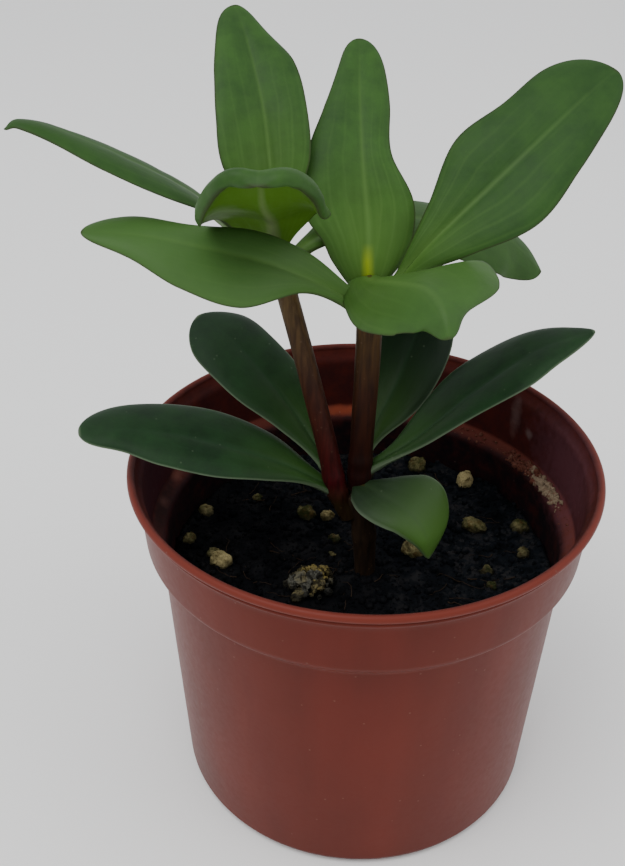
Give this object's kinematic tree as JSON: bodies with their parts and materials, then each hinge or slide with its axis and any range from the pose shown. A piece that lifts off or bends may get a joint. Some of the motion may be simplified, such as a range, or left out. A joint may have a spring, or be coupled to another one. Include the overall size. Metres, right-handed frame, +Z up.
{
  "type": "potted peperomia",
  "caption": "Small succulent peperomia with thick boat-shaped leaves on red-brown stems, growing in soil in a round moulded plastic nursery pot.",
  "frame": {"origin": "centre of the pot's flat underside", "axes": "+Z up along the pot's axis, the -Y side is the one in the usual picture, +X to its right"},
  "size_m": [0.0976, 0.085, 0.1423],
  "materials": {
    "pot_plastic": "satin terracotta-brown moulded plastic",
    "potting_soil": "dark, damp, crumbly",
    "perlite": "matt, crusty",
    "old_bark": "dull brown bark",
    "young_stem": "smooth red-brown skin",
    "head_leaf": "satin, fleshy, fresh green",
    "lower_leaf": "satin, fleshy, dark green"
  },
  "bodies": {
    "root": {"pot": "pot_plastic", "soil": "potting_soil", "perlite_clump": "perlite", "old_stem": "old_bark", "left_stem": "young_stem", "right_stem": "young_stem", "left_head_back_leaf": "head_leaf", "left_head_left_leaf": "head_leaf", "left_head_front_leaf": "head_leaf", "left_head_right_leaf": "head_leaf", "right_head_back_leaf": "head_leaf", "right_head_right_leaf": "head_leaf", "right_head_front_leaf": "head_leaf", "right_head_left_leaf": "head_leaf", "lower_back_left_leaf": "lower_leaf", "lower_left_leaf": "lower_leaf", "lower_back_right_leaf": "lower_leaf", "lower_right_leaf": "lower_leaf", "lower_front_leaf": "lower_leaf"}
  },
  "joints": []
}
